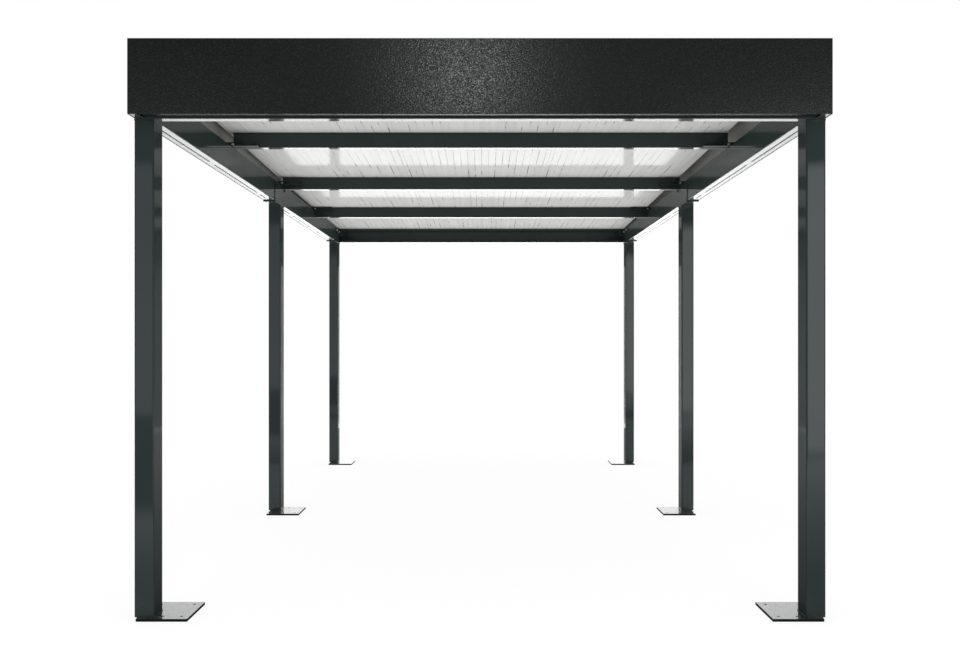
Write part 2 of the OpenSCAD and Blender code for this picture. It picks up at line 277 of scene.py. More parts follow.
def roof_sheet(name, first_groove):
    """Lined roof panel: off-white lining with dark broken grooves of painted shade, foam at its ends, dark
    sheet above.

    first_groove is the x of the panel's first groove. Heights are measured square to the roof's underside.
    """
    made = new_material(name)
    tree = made.node_tree
    place = object_place(tree)
    x, y, z = coordinates(tree, place)

    steps = math_node(tree, "DIVIDE", math_node(tree, "SUBTRACT", x, first_groove), GROOVE_PITCH)
    number = math_node(tree, "ROUND", steps)
    off_centre = math_node(tree, "ABSOLUTE", math_node(tree, "SUBTRACT", steps, number))
    width = GROOVE_WIDTH / GROOVE_PITCH
    line = remap(tree, off_centre, 0.3 * width, 0.75 * width, 1.0, 0.0)
    along = add_node(tree, "ShaderNodeCombineXYZ", {0: math_node(tree, "MULTIPLY", number, 7.31), 1: y})
    broken = noise(tree, along.outputs[0], 2.1, 3.0, 0.7)
    # Painted shade in the grooves: a dark line, broken along its length by noise.
    groove_shade = math_node(tree, "MULTIPLY", line, remap(tree, broken, 0.50, 0.60, 0.04, 0.85))

    first, second = [sum(point.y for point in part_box(purlin)) / 2 for purlin in PURLINS[:2]]
    bays = math_node(tree, "DIVIDE", math_node(tree, "SUBTRACT", y, first - 2.5), second - first)
    in_bay = math_node(tree, "FRACT", bays)
    # The painted groove shade is weaker over part of each purlin spacing, repeating along the roof.
    groove_shade = math_node(tree, "MULTIPLY", groove_shade, remap(tree, in_bay, 0.60, 0.68, 0.40, 1.0))
    middle = remap(tree, math_node(tree, "ABSOLUTE", x), 1.19, 1.25, 1.0, 0.30)
    fading = remap(tree, y, 0.95, 1.45, 1.0, 0.12)
    gloss = math_node(tree, "MULTIPLY", math_node(tree, "MULTIPLY", middle, fading), LINING_GLOSS)

    shade = noise(tree, place, 1.0, 3.0, 0.55, (14.0, 0.8, 1.0))
    lining = blend_colour(tree, remap(tree, shade, 0.3, 0.7),
                          (0.64, 0.64, 0.62, 1), (0.71, 0.71, 0.69, 1))
    lining = blend_colour(tree, groove_shade, lining, (0.10, 0.10, 0.095, 1))

    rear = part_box("rear_beam")[1]
    slope = math_node(tree, "MULTIPLY", math_node(tree, "SUBTRACT", rear.y, y), ROOF_FALL)
    height = math_node(tree, "SUBTRACT", math_node(tree, "SUBTRACT", z, slope), rear.z)
    cells = noise(tree, place, 300.0, 2.0, 0.6)
    foam = blend_colour(tree, cells, (0.56, 0.47, 0.26, 1), (0.68, 0.60, 0.37, 1))
    stain = noise(tree, place, 3.0, 5.0, 0.65)
    outer = blend_colour(tree, stain, (0.020, 0.022, 0.023, 1), (0.034, 0.037, 0.038, 1))
    colour = blend_colour(tree, math_node(tree, "GREATER_THAN", height, 0.0016), lining, foam)
    is_outer = math_node(tree, "GREATER_THAN", height, PANEL_THICKNESS - 0.001)
    colour = blend_colour(tree, is_outer, colour, outer)

    rolled = noise(tree, place, 1.0, 2.0, 0.5, (60.0, 1.5, 1.0))
    finish_with(tree, {
        "Base Color": colour, "Roughness": 0.5,
        "Specular IOR Level": 0.0, "Coat Weight": gloss, "Coat Roughness": 0.08, "Coat IOR": 1.5,
        "Normal": bump(tree, rolled, 0.05, 0.0008),
    })
    return made


def zinc(name, shade):
    """Bright zinc plating with a faint mottle."""
    made = new_material(name)
    tree = made.node_tree
    place = object_place(tree)
    mottle = noise(tree, place, 130.0, 4.0, 0.6)
    colour = blend_colour(tree, mottle, (0.55 * shade, 0.56 * shade, 0.57 * shade, 1),
                          (0.80 * shade, 0.81 * shade, 0.80 * shade, 1))
    finish_with(tree, {
        "Base Color": colour, "Metallic": 0.7, "Roughness": remap(tree, mottle, 0.3, 0.7, 0.34, 0.50),
        "Normal": bump(tree, mottle, 0.08, 0.0005),
    })
    return made


# The front posts' inner faces, the side beams' undersides and the base plates' edges have a gloss of their
# own, and the base plates' edges are painted near-black as painted shade. Each limit lies just off the face
# on the frame.
BEAM_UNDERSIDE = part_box("front_left_side_beam")[0].z + 0.0004
POST_INSIDE = abs(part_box("front_left_post")[1].x) + 0.0006
PLATE_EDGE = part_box("front_left_base_plate")[1].z - 0.0004
POST_SHADES = ((0.0150, 0.0255, 0.0240, 1), (0.0190, 0.0305, 0.0290, 1))

FRAME_COATING = gloss_coating("frame_coating", (0.0150, 0.0255, 0.0230, 1), (0.0195, 0.0310, 0.0282, 1))
SIDE_BEAM_COATING = gloss_coating(
    "side_beam_coating", (0.0150, 0.0270, 0.0235, 1), (0.0195, 0.0330, 0.0290, 1),
    gloss=0.33, zone=(2, BEAM_UNDERSIDE, 0.45))
# Dark low-gloss paint for the front and rear fascias' bottom returns and the splice strips, and painted
# shadow on the strips along the side beams' slots.
RETURN_AND_SHADOW_COATING = gloss_coating(
    "return_and_shadow_coating", (0.0070, 0.0105, 0.0100, 1), (0.0100, 0.0140, 0.0130, 1), gloss=0.03)
# Near-black paint for the painted shade in the anchor holes.
HOLE_SHADE_BLACK = gloss_coating(
    "hole_shade_black", (0.0015, 0.0016, 0.0016, 1), (0.0030, 0.0031, 0.0030, 1), gloss=0.03)
HEM_COATING = gloss_coating(
    "hem_coating", (0.055, 0.060, 0.058, 1), (0.075, 0.080, 0.077, 1), gloss=0.10)
FRONT_POST_COATING = gloss_coating(
    "front_post_coating", *POST_SHADES, dust=0.06, zone=(0, POST_INSIDE, 0.32))
POST_COATING = gloss_coating("post_coating", *POST_SHADES, dust=0.06)
# The base plates' edges get a near-black colour, painted shade for their dark edge line.
PLATE_COATING = gloss_coating(
    "plate_coating", (0.014, 0.021, 0.0195, 1), (0.022, 0.030, 0.028, 1), dust=0.15,
    zone=(2, PLATE_EDGE, 0.10), zone_shade=(0.004, 0.005, 0.005, 1))
WELD_COATING = gloss_coating(
    "weld_coating", (0.012, 0.019, 0.0175, 1), (0.020, 0.030, 0.028, 1), dust=0.08)
FASCIA_COATING = grained_coating("fascia_coating")
BACK_COAT = back_coat("fascia_back_coat")
BRIGHT_ZINC = zinc("bright_zinc", 1.0)
DARK_SCREW = gloss_coating("dark_screw", (0.012, 0.016, 0.015, 1), (0.022, 0.027, 0.026, 1))


# ---------------------------------------------------------------------------
# Piece helpers
# ---------------------------------------------------------------------------

def placed(name, data):
    """New object in the scene around a mesh, lamp or camera."""
    made = bpy.data.objects.new(name, data)
    bpy.context.scene.collection.objects.link(made)
    return made


def give(piece):
    """Lets a piece ride on the frame."""
    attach(piece, "root")
    return piece


def mesh_object(name, bm, materials, sharp_degrees=35.0):
    """Object from a bmesh, with smooth faces that stay sharp over the given angle."""
    mesh = bpy.data.meshes.new(name)
    bm.to_mesh(mesh)
    bm.free()
    for finish in materials:
        mesh.materials.append(finish)
    mesh.shade_smooth()
    mesh.set_sharp_from_angle(angle=math.radians(sharp_degrees))
    return placed(name, mesh)


def clean_copy(node_name):
    """Bmesh of a CAD node with its loose triangles merged and its flat faces joined."""
    bm = bmesh.new()
    bm.from_mesh(nodes[node_name].data)
    bmesh.ops.remove_doubles(bm, verts=bm.verts, dist=1e-6)
    bmesh.ops.dissolve_limit(bm, angle_limit=math.radians(0.5), verts=bm.verts, edges=bm.edges)
    return bm


def sharp_edges(bm):
    """Edges where two faces turn by more than 50 degrees."""
    limit = math.radians(50.0)
    return [e for e in bm.edges if len(e.link_faces) == 2 and e.calc_face_angle(0.0) > limit]


def softened(node_name, width, materials):
    """Replaces a CAD node by the same shape with eased edges."""
    bm = clean_copy(node_name)
    bmesh.ops.bevel(bm, geom=sharp_edges(bm), offset=width, segments=2, profile=0.5,
                    affect="EDGES", clamp_overlap=True)
    piece = mesh_object(f"{node_name}_steel", bm, materials, 14.0)
    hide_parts(node_name)
    return give(piece)


def fold_edges(bm, axis, length):
    """Edges that run along an axis (0 for X, 1 for Y) and are longer than the given length."""
    found = []
    for edge in sharp_edges(bm):
        run = edge.verts[1].co - edge.verts[0].co
        if abs(run[axis]) > 0.99 * run.length and run.length > length:
            found.append(edge)
    return found


def folded(node_name, axis, hidden_side):
    """Replaces a CAD sheet by one with rounded folds, and coats the side that faces the roof differently.

    hidden_side(face centre, face normal) tells which faces are on the sheet's hidden side.
    """
    bm = clean_copy(node_name)
    bmesh.ops.bevel(bm, geom=fold_edges(bm, axis, 1.0), offset=FOLD_RADIUS, segments=3, profile=0.5,
                    affect="EDGES", clamp_overlap=True)
    bm.normal_update()
    for face in bm.faces:
        face.material_index = 1 if hidden_side(face.calc_center_median(), face.normal) else 0
        if face.normal.z < -0.9 and face.material_index == 0:
            face.material_index = 2
    below = FRAME_COATING if axis == 1 else RETURN_AND_SHADOW_COATING
    piece = mesh_object(f"{node_name}_sheet", bm, (FASCIA_COATING, BACK_COAT, below), 14.0)
    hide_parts(node_name)
    return give(piece)


# ---------------------------------------------------------------------------
# Geometry Nodes
# ---------------------------------------------------------------------------

def new_tree(name, inputs):
    """Geometry node tree with a geometry in and out and named inputs, each (name, socket type, value)."""
    tree = bpy.data.node_groups.new(name, "GeometryNodeTree")
    tree.interface.new_socket("Geometry", in_out="INPUT", socket_type="NodeSocketGeometry")
    tree.interface.new_socket("Geometry", in_out="OUTPUT", socket_type="NodeSocketGeometry")
    for label, kind, value in inputs:
        made = tree.interface.new_socket(label, in_out="INPUT", socket_type=kind)
        if value is not None:
            made.default_value = value
    start = tree.nodes.new("NodeGroupInput")
    return tree, start.outputs


def end_tree(tree, geometry, finish):
    """Realize Instances and Set Material, then the output."""
    real = add_node(tree, "GeometryNodeRealizeInstances", {0: geometry}).outputs[0]
    coated = add_node(tree, "GeometryNodeSetMaterial", {"Geometry": real, "Material": finish}).outputs[0]
    add_node(tree, "NodeGroupOutput", {0: coated})


def items_on_points_tree():
    """One item on each point, its Z along the point's facing, spun by a seeded random turn."""
    tree, given = new_tree("items_on_points", (
        ("Item", "NodeSocketObject", None), ("Spin", "NodeSocketFloat", math.pi),
        ("Seed", "NodeSocketInt", 1), ("Finish", "NodeSocketMaterial", None)))
    facing = add_node(tree, "GeometryNodeInputNamedAttribute", {"Name": "facing"}, data_type="FLOAT_VECTOR")
    upright = add_node(tree, "FunctionNodeAlignRotationToVector", {"Vector": facing.outputs[0]}, axis="Z")
    turn = add_node(tree, "FunctionNodeRandomValue", {2: 0.0, 3: given["Spin"], "Seed": given["Seed"]},
                    data_type="FLOAT")
    spin = add_node(tree, "FunctionNodeAxisAngleToRotation", {"Axis": (0, 0, 1), "Angle": turn.outputs[1]})
    rotation = add_node(tree, "FunctionNodeRotateRotation",
                        {0: upright.outputs[0], 1: spin.outputs[0]}, rotation_space="LOCAL")
    item = add_node(tree, "GeometryNodeObjectInfo", {"Object": given["Item"]}, transform_space="ORIGINAL")
    points = add_node(tree, "GeometryNodeInstanceOnPoints",
                      {"Points": given["Geometry"], "Instance": item.outputs["Geometry"],
                       "Rotation": rotation.outputs[0]})
    end_tree(tree, points.outputs[0], given["Finish"])
    return tree


def weld_tree():
    """A rippled bead along each path of edges."""
    tree, given = new_tree("weld_bead", (
        ("Bead Radius", "NodeSocketFloat", 0.0035), ("Step", "NodeSocketFloat", 0.0016),
        ("Ripple Size", "NodeSocketFloat", 0.005), ("Ripple Depth", "NodeSocketFloat", 0.35),
        ("Seed", "NodeSocketInt", 3), ("Finish", "NodeSocketMaterial", None)))
    path = add_node(tree, "GeometryNodeMeshToCurve", {"Mesh": given["Geometry"]}).outputs[0]
    path = add_node(tree, "GeometryNodeResampleCurve", {"Curve": path, "Length": given["Step"]},
                    mode="LENGTH")
    length = add_node(tree, "GeometryNodeSplineParameter").outputs["Length"]
    ripples = add_node(tree, "ShaderNodeMath", {0: length, 1: given["Ripple Size"]}, operation="DIVIDE")
    wave = add_node(tree, "ShaderNodeMath", {0: ripples.outputs[0]}, operation="FRACT")
    place = add_node(tree, "GeometryNodeInputPosition").outputs[0]
    uneven = add_node(tree, "ShaderNodeTexNoise",
                      {"Vector": place, "W": given["Seed"], "Scale": 55.0, "Detail": 2.0},
                      noise_dimensions="4D")
    mixed = add_node(tree, "ShaderNodeMath", {0: wave.outputs[0], 1: uneven.outputs[0]}, operation="ADD")
    depth = add_node(tree, "ShaderNodeMath", {0: mixed.outputs[0], 1: given["Ripple Depth"], 2: 0.75},
                     operation="MULTIPLY_ADD")
    thick = add_node(tree, "GeometryNodeSetCurveRadius",
                     {"Curve": path.outputs[0], "Radius": depth.outputs[0]})
    ring = add_node(tree, "GeometryNodeCurvePrimitiveCircle",
                    {"Resolution": 8, "Radius": given["Bead Radius"]})
    bead = add_node(tree, "GeometryNodeCurveToMesh",
                    {"Curve": thick.outputs[0], "Profile Curve": ring.outputs[0], "Fill Caps": True})
    smooth = add_node(tree, "GeometryNodeSetShadeSmooth", {0: bead.outputs[0]})
    end_tree(tree, smooth.outputs[0], given["Finish"])
    return tree


def grown(name, source, tree, values):
    """Plain mesh object that a tree makes of a source object with the named values."""
    modifier = source.modifiers.new("grow", "NODES")
    modifier.node_group = tree
    for socket in tree.interface.items_tree:
        if socket.in_out == "INPUT" and socket.name in values:
            modifier[socket.identifier] = values[socket.name]
    bpy.context.view_layer.update()
    graph = bpy.context.evaluated_depsgraph_get()
    mesh = bpy.data.meshes.new_from_object(source.evaluated_get(graph))
    mesh.name = name
    source.modifiers.remove(modifier)
    bpy.data.objects.remove(source)
    return placed(name, mesh)


ITEMS_ON_POINTS = items_on_points_tree()
WELD_BEAD = weld_tree()


def point_cloud(places):
    """Mesh object with a vertex at each (place, facing)."""
    mesh = bpy.data.meshes.new("points")
    mesh.from_pydata([p for p, _ in places], [], [])
    facing = mesh.attributes.new("facing", "FLOAT_VECTOR", "POINT")
    for number, (_, way) in enumerate(places):
        facing.data[number].vector = way
    return placed("points", mesh)


def fasteners(name, item, places, finish, seed, spin=math.pi):
    """The item at each (place, facing), as one piece."""
    piece = grown(name, point_cloud(places), ITEMS_ON_POINTS,
                  {"Item": item, "Spin": spin, "Seed": seed, "Finish": finish})
    return give(piece)


# ---------------------------------------------------------------------------
# Fasteners, drawn once at the origin with their heads towards +Z
# ---------------------------------------------------------------------------

def turned(bm, outline, sides):
    """Adds a solid turned about Z from (radius, height) points, low to high."""
    angles = [math.tau * k / sides for k in range(sides)]
    rings = []
    for radius, height in outline:
        rings.append([bm.verts.new((radius * math.cos(a), radius * math.sin(a), height)) for a in angles])
    for low, high in zip(rings, rings[1:]):
        for k in range(sides):
            bm.faces.new((low[k], low[(k + 1) % sides], high[(k + 1) % sides], high[k]))
    bm.faces.new(list(reversed(rings[0])))
    bm.faces.new(rings[-1])


def item_object(name, parts):
    """Hidden model of a fastener from (outline, sides) parts."""
    bm = bmesh.new()
    for outline, sides in parts:
        turned(bm, outline, sides)
    made = mesh_object(name, bm, ())
    made.hide_render = True
    return made


def hex_bolt():
    corner = BOLT_ACROSS / 2 / math.cos(math.pi / 6)
    washer = ((0.0080, 0.0), (0.0084, 0.0004), (0.0084, 0.0014), (0.0080, 0.0018))
    head = ((corner * 0.97, 0.0018), (corner, 0.0023), (corner, 0.0066), (corner * 0.93, 0.0072),
            (corner * 0.80, 0.0075))
    return item_object("hex_bolt_model", ((washer, 24), (head, 6)))


def roof_screw():
    corner = SCREW_ACROSS / 2 / math.cos(math.pi / 6)
    seal = ((0.0085, 0.0), (0.0092, 0.0006), (0.0090, 0.0018), (0.0070, 0.0026))
    head = ((corner * 1.25, 0.0026), (corner * 1.25, 0.0034), (corner, 0.0036), (corner, 0.0082),
            (corner * 0.9, 0.0088))
    return item_object("roof_screw_model", ((seal, 16), (head, 6)))


def pan_rivet():
    dome = [(RIVET_RADIUS * math.cos(a), RIVET_RADIUS * 0.45 * math.sin(a))
            for a in (math.radians(d) for d in (0, 25, 50, 72))]
    return item_object("rivet_model", ((dome, 12),))


# ---------------------------------------------------------------------------
# Frame
# ---------------------------------------------------------------------------

def coat(names, finish):
    for name in names:
        nodes[name].data.materials.clear()
        nodes[name].data.materials.append(finish)


def sign(side):
    return -1.0 if side == "left" else 1.0


def coat_frame():
    coat([f"front_{side}_post" for side in SIDES], FRONT_POST_COATING)
    coat([f"{row}_{side}_post" for row in ("middle", "rear") for side in SIDES], POST_COATING)
    coat([f"{part}_{side}_side_beam" for part in ("front", "rear") for side in SIDES], SIDE_BEAM_COATING)
    coat(["front_beam", "rear_beam", *PURLINS], FRAME_COATING)


def plates_and_angles():
    for row in ROWS:
        for side in SIDES:
            coat([f"{row}_{side}_base_plate"], PLATE_COATING)
            softened(f"{row}_{side}_top_plate", PLATE_EASE, (FRAME_COATING,))
            softened(f"{row}_purlin_{side}_angle", SHEET_EASE, (FRAME_COATING,))
    for side in SIDES:
        softened(f"{side}_rear_cleat", SHEET_EASE, (FRAME_COATING,))
    softened("front_fascia_straps", STRAP_EASE, (FRAME_COATING,))


def blocks(name, boxes, finish, ease=0.0002):
    """Boxes with eased edges, each given by its centre and its sizes, as one object."""
    bm = bmesh.new()
    for centre, sizes in boxes:
        for v in bmesh.ops.create_cube(bm, size=1.0)["verts"]:
            v.co = Vector(c + w * k for c, w, k in zip(centre, sizes, v.co))
    bmesh.ops.bevel(bm, geom=bm.edges[:], offset=ease, segments=2, affect="EDGES")
    return mesh_object(name, bm, (finish,))


def corner_arc(centre, radius, start, steps=5):
    """Points of a quarter circle from the start angle, in degrees."""
    angles = (math.radians(start + 90 * k / steps) for k in range(steps + 1))
    return [(centre[0] + radius * math.cos(a), centre[1] + radius * math.sin(a)) for a in angles]


def weld_paths():
    """Paths of the welds round three sides of each post's foot, and of those under the top plates."""
    verts, edges = [], []

    def add_path(points):
        start = len(verts)
        verts.extend(points)
        edges.extend((k, k + 1) for k in range(start, len(verts) - 1))

    for row in ROWS:
        for side in SIDES:
            low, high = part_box(f"{row}_{side}_post")
            out = sign(side)
            outer, inner = (high.x, low.x) if out > 0 else (low.x, high.x)
            foot = low.z + BEAD_OFF
            stop = outer - out * FOOT_BEAD_STOP
            bend = inner + out * POST_CORNER
            if out > 0:
                front = corner_arc((bend, low.y + POST_CORNER), POST_CORNER, 180.0)[::-1]
                back = corner_arc((bend, high.y - POST_CORNER), POST_CORNER, 90.0)[::-1]
            else:
                front = corner_arc((bend, low.y + POST_CORNER), POST_CORNER, 270.0)
                back = corner_arc((bend, high.y - POST_CORNER), POST_CORNER, 0.0)
            add_path([(x, y, foot) for x, y in ((stop, low.y), *front, *back, (stop, high.y))])
            if row != "front":
                top = high.z - BEAD_OFF
                ends = (inner + out * TOP_BEAD_STOP, outer - out * TOP_BEAD_STOP)
                for y in (low.y, high.y):
                    add_path([(x, y, top) for x in ends])
    return verts, edges


def welds():
    verts, edges = weld_paths()
    mesh = bpy.data.meshes.new("weld_paths")
    mesh.from_pydata(verts, edges, [])
    piece = grown("post_welds", placed("weld_paths", mesh), WELD_BEAD, {"Finish": WELD_COATING})
    give(piece)


def frame_bolts():
    """Bolts at the purlins' ends and on the rear cleats; screws there and at the side beams' splices."""
    bolt = hex_bolt()
    screw = roof_screw()
    bright, dull = [], []
    forward, up = (0, -1, 0), (0, 0, 1)
    beam_end = abs(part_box("rear_beam")[1].x)
    for side in SIDES:
        out = sign(side)
        inward = (-out, 0, 0)
        for row in ROWS:
            low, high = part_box(f"{row}_purlin_{side}_angle")
            face = high.y - ANGLE_THICKNESS
            end = abs(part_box(f"{row}_purlin")[1].x)
            height = low.z + BOLT_RISE
            bright.append(((out * (end + 0.003), face, height), forward))
            for inset in ANGLE_SCREWS:
                dull.append(((out * (end - inset), face, height + 0.003), forward))
            dull.append(((out * (end + 0.024), high.y - 0.022, low.z + ANGLE_THICKNESS), up))
        low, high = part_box(f"{side}_rear_cleat")
        height = (low.z + high.z) / 2 + 0.007
        for setback in CLEAT_BOLTS:
            bright.append(((out * (beam_end - ANGLE_THICKNESS), high.y - setback, height), inward))
        dull.append(((out * (beam_end - 0.045), high.y - ANGLE_THICKNESS, height), forward))
        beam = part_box(f"rear_{side}_side_beam")
        for setback in SPLICE_SCREWS:
            dull.append(((out * beam_end, beam[0].y + setback, beam[1].z - 0.032), inward))
    fasteners("zinc_bolts", bolt, bright, BRIGHT_ZINC, 5)
    fasteners("coated_screws", screw, dull, DARK_SCREW, 6)
    bpy.data.objects.remove(bolt)
    return screw


def anchor_plugs():
    """Near-black discs low in the anchor holes of the base plates: painted shade in the holes."""
    outline = ((0.0060, 0.0), (0.0063, 0.0004), (0.0063, 0.0018), (0.0058, 0.0022))
    shade_disc = item_object("plug_model", ((outline, 20),))
    places = []
    for row in ROWS:
        for side in SIDES:
            out = sign(side)
            low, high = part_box(f"{row}_{side}_base_plate")
            inner = low.x if out > 0 else high.x
            near, far = low.y + HOLE_SETBACK, high.y - HOLE_SETBACK
            if row != "front":
                near, far = far, near
            holes = ((INNER_HOLES, near), (INNER_HOLES, far), (BESIDE_HOLE, near), (OUTER_HOLE, far))
            for step, y in holes:
                places.append(((inner + out * step, y, low.z + 0.0002), (0, 0, 1)))
    fasteners("anchor_plugs", shade_disc, places, HOLE_SHADE_BLACK, 4)
    bpy.data.objects.remove(shade_disc)


def splice_straps():
    """Thin near-black strips where the two lengths of each side beam meet, on the inner faces, so the seam
    shows as a dark line.
    """
    beam_end = abs(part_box("rear_beam")[1].x)
    boxes = []
    for side in SIDES:
        low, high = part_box(f"rear_{side}_side_beam")
        centre = (sign(side) * beam_end, low.y - 0.001, (low.z + high.z) / 2)
        boxes.append((centre, (0.0016, SEAM_STRIP_WIDTH, high.z - low.z - 0.004)))
    give(blocks("splice_straps", boxes, RETURN_AND_SHADOW_COATING))


def open_runs(start, stop, blocked):
    """Parts of the run from start to stop that no blocked (low, high) covers."""
    runs = []
    for low, high in sorted(blocked):
        if low > start:
            runs.append((start, min(low, stop)))
        start = max(start, high)
    runs.append((start, stop))
    return [(low, high) for low, high in runs if high - low > SHORTEST_SLOT_SHADOW]


def drain_seals():
    """Painted shadow: dark strips along the slots under the side beams, broken at the bridges and over the
    top plates.
    """
    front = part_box("front_beam")[0].y
    boxes = []
    for side in SIDES:
        plates = [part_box(f"{row}_{side}_top_plate") for row in ROWS]
        bridges = [front + FIRST_BRIDGE + n * BRIDGE_PITCH for n in range(BRIDGES)]
        blocked = [(y - HALF_BRIDGE, y + HALF_BRIDGE) for y in bridges]
        blocked += [(low.y - 0.002, high.y + 0.002) for low, high in plates]
        for part in ("front", "rear"):
            low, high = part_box(f"{part}_{side}_side_beam")
            for start, stop in open_runs(low.y + PLAIN_END, high.y - PLAIN_END, blocked):
                centre = (sign(side) * SLOT_MIDDLE, (start + stop) / 2, low.z)
                boxes.append((centre, (SLOT_SHADOW_WIDTH, stop - start, SLOT_SHADOW_DEPTH)))
    give(blocks("drain_seals", boxes, RETURN_AND_SHADOW_COATING))


# ---------------------------------------------------------------------------
# Roof and fascia
# ---------------------------------------------------------------------------

def roof_height(y):
    """Height of the roof's top between the ribs."""
    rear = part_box("rear_beam")[1]
    return rear.z + (rear.y - y) * ROOF_FALL + PANEL_THICKNESS


def rib_places():
    """The x of each rib's middle, three to a panel."""
    found = []
    for name in ROOF_PANELS:
        low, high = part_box(name)
        found.extend(low.x + (n + 0.5) * (high.x - low.x) / 3 for n in range(3))
    return found


def coat_roof():
    for name in ROOF_PANELS:
        coat([name], roof_sheet(f"{name}_sheet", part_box(name)[0].x + GROOVE_PITCH / 2))


def roof_screws(screw):
    """A screw through each rib over every beam and purlin."""
    lines = [sum((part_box(name)[k].y for k in (0, 1))) / 2 for name in ("front_beam", *PURLINS, "rear_beam")]
    places = [((x, y, roof_height(y) + RIB_HEIGHT), (0, 0, 1)) for x in rib_places() for y in lines]
    fasteners("roof_screws", screw, places, DARK_SCREW, 8)
    bpy.data.objects.remove(screw)


def hidden_from(axis, face, low):
    """Tells a fascia's hidden faces: off its outer face on that axis, and not its top or bottom."""
    def hidden(centre, normal):
        return abs(centre[axis] - face) > 0.0005 and centre.z > low + 0.0005 and normal.z < 0.9
    return hidden


def fascia_sheets():
    for name in SIDE_FASCIAS:
        low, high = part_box(name)
        face = high.x if "right" in name else low.x
        folded(name, 1, hidden_from(0, face, low.z))
    for name in ("front_fascia", "rear_fascia"):
        low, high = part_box(name)
        face = low.y if name == "front_fascia" else high.y
        folded(name, 0, hidden_from(1, face, low.z))


def joint_covers():
    """Thin cover strips over the joints in the side fascias."""
    for side in SIDES:
        out = sign(side)
        low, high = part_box(f"front_{side}_side_fascia")
        joint = (high.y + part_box(f"rear_{side}_side_fascia")[0].y) / 2
        face = high.x if out > 0 else low.x
        middle = (face + out * COVER_THICKNESS / 2, joint, (low.z + high.z) / 2)
        sizes = (COVER_THICKNESS, COVER_WIDTH, high.z - low.z - 0.004)
        piece = blocks(f"{side}_joint_cover", ((middle, sizes),), FASCIA_COATING, 0.0004)
        give(piece)


def drip_edges():
    """Thin dark hems along the side fascias' outer lower edges."""
    boxes = []
    for side in SIDES:
        low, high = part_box(f"front_{side}_side_fascia")
        edge = high.x if side == "right" else low.x
        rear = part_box(f"rear_{side}_side_fascia")[1].y
        centre = (edge - sign(side) * 0.0035, (low.y + rear) / 2, low.z)
        boxes.append((centre, (0.007, rear - low.y - 0.004, 0.0012)))
    give(blocks("drip_edges", boxes, HEM_COATING))


def fascia_rivets():
    """Rivets along the top returns and beside the joint covers' edges."""
    rivet = pan_rivet()
    places = []
    for side in SIDES:
        out = sign(side)
        low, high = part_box(f"front_{side}_side_fascia")
        rear_low, rear_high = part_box(f"rear_{side}_side_fascia")
        face = high.x if out > 0 else low.x
        run = rear_high.y - low.y - 0.24
        for k in range(SIDE_RIVETS):
            y = low.y + 0.12 + run * k / (SIDE_RIVETS - 1)
            places.append(((face - out * 0.040, y, high.z), (0, 0, 1)))
        joint = (high.y + rear_low.y) / 2
        for z in (low.z + 0.04, (low.z + high.z) / 2, high.z - 0.04):
            for step in (-0.014, 0.014):
                places.append(((face + out * COVER_THICKNESS, joint + step, z), (out, 0, 0)))
    for name, inset in (("front_fascia", 0.035), ("rear_fascia", -0.035)):
        low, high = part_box(name)
        y = (low.y if inset > 0 else high.y) + inset
        run = high.x - low.x - 0.30
        for k in range(END_RIVETS):
            places.append(((low.x + 0.15 + run * k / (END_RIVETS - 1), y, high.z), (0, 0, 1)))
    fasteners("fascia_rivets", rivet, places, DARK_SCREW, 9)
    bpy.data.objects.remove(rivet)


def side_flashings():
    """Folded strips that close the roof's sides from the panels up to the fascias' top returns."""
    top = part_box("front_fascia")[1].z - 0.0035
    ends = (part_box("centre_roof_panel")[0].y + 0.004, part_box("centre_roof_panel")[1].y - 0.002)
    for side in SIDES:
        out = sign(side)
        low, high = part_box(f"{side}_roof_panel")
        edge = high.x if side == "right" else low.x
        bm = bmesh.new()
        rows = []
        for y in ends:
            foot = roof_height(y) + 0.0006
            line = [(abs(edge) - inset, foot) for inset in (0.040, 0.010)]
            line += [(x, top - 0.002) for x in FLASHING_TOP]
            rows.append([bm.verts.new((out * x, y, z)) for x, z in line])
        for k in range(3):
            bm.faces.new((rows[0][k], rows[0][k + 1], rows[1][k + 1], rows[1][k]))
        bmesh.ops.solidify(bm, geom=bm.faces[:], thickness=0.0008)
        bmesh.ops.recalc_face_normals(bm, faces=bm.faces)
        give(mesh_object(f"{side}_flashing", bm, (BACK_COAT,), 20.0))


def coat_gutter():
    softened("gutter", SHEET_EASE, (FASCIA_COATING,))


# ---------------------------------------------------------------------------
# Studio
# ---------------------------------------------------------------------------

CAMERA_PLACE = (0.01236, -6.3795, 1.2085)
CAMERA_LENS = 33.5625
CAMERA_SHIFT = (-0.0030, 0.0100)

# Radiance of the studio: for matt surfaces, then for reflections behind and in front of the carport
STUDIO_LIGHT = 0.85
STRIP_BELOW = (4.3, 4.9)
STRIP_ABOVE = 3.3
STUDIO_SIDES = (0.75, 0.27)
STUDIO_FRONT_LOW = 0.45
STUDIO_FRONT_HIGH = 0.10
FLOOR_GLOW = 0.85
FLOOR_END = 5.9
FLOOR_LEVEL = -0.0005


def camera():
    data = bpy.data.cameras.new("camera")
    data.lens = CAMERA_LENS
    data.sensor_width = 36.0
    data.shift_x, data.shift_y = CAMERA_SHIFT
    data.clip_end = 200.0
    made = placed("camera", data)
    made.location = CAMERA_PLACE
    made.rotation_euler = (math.pi / 2, 0.0, 0.0)
    bpy.context.scene.camera = made


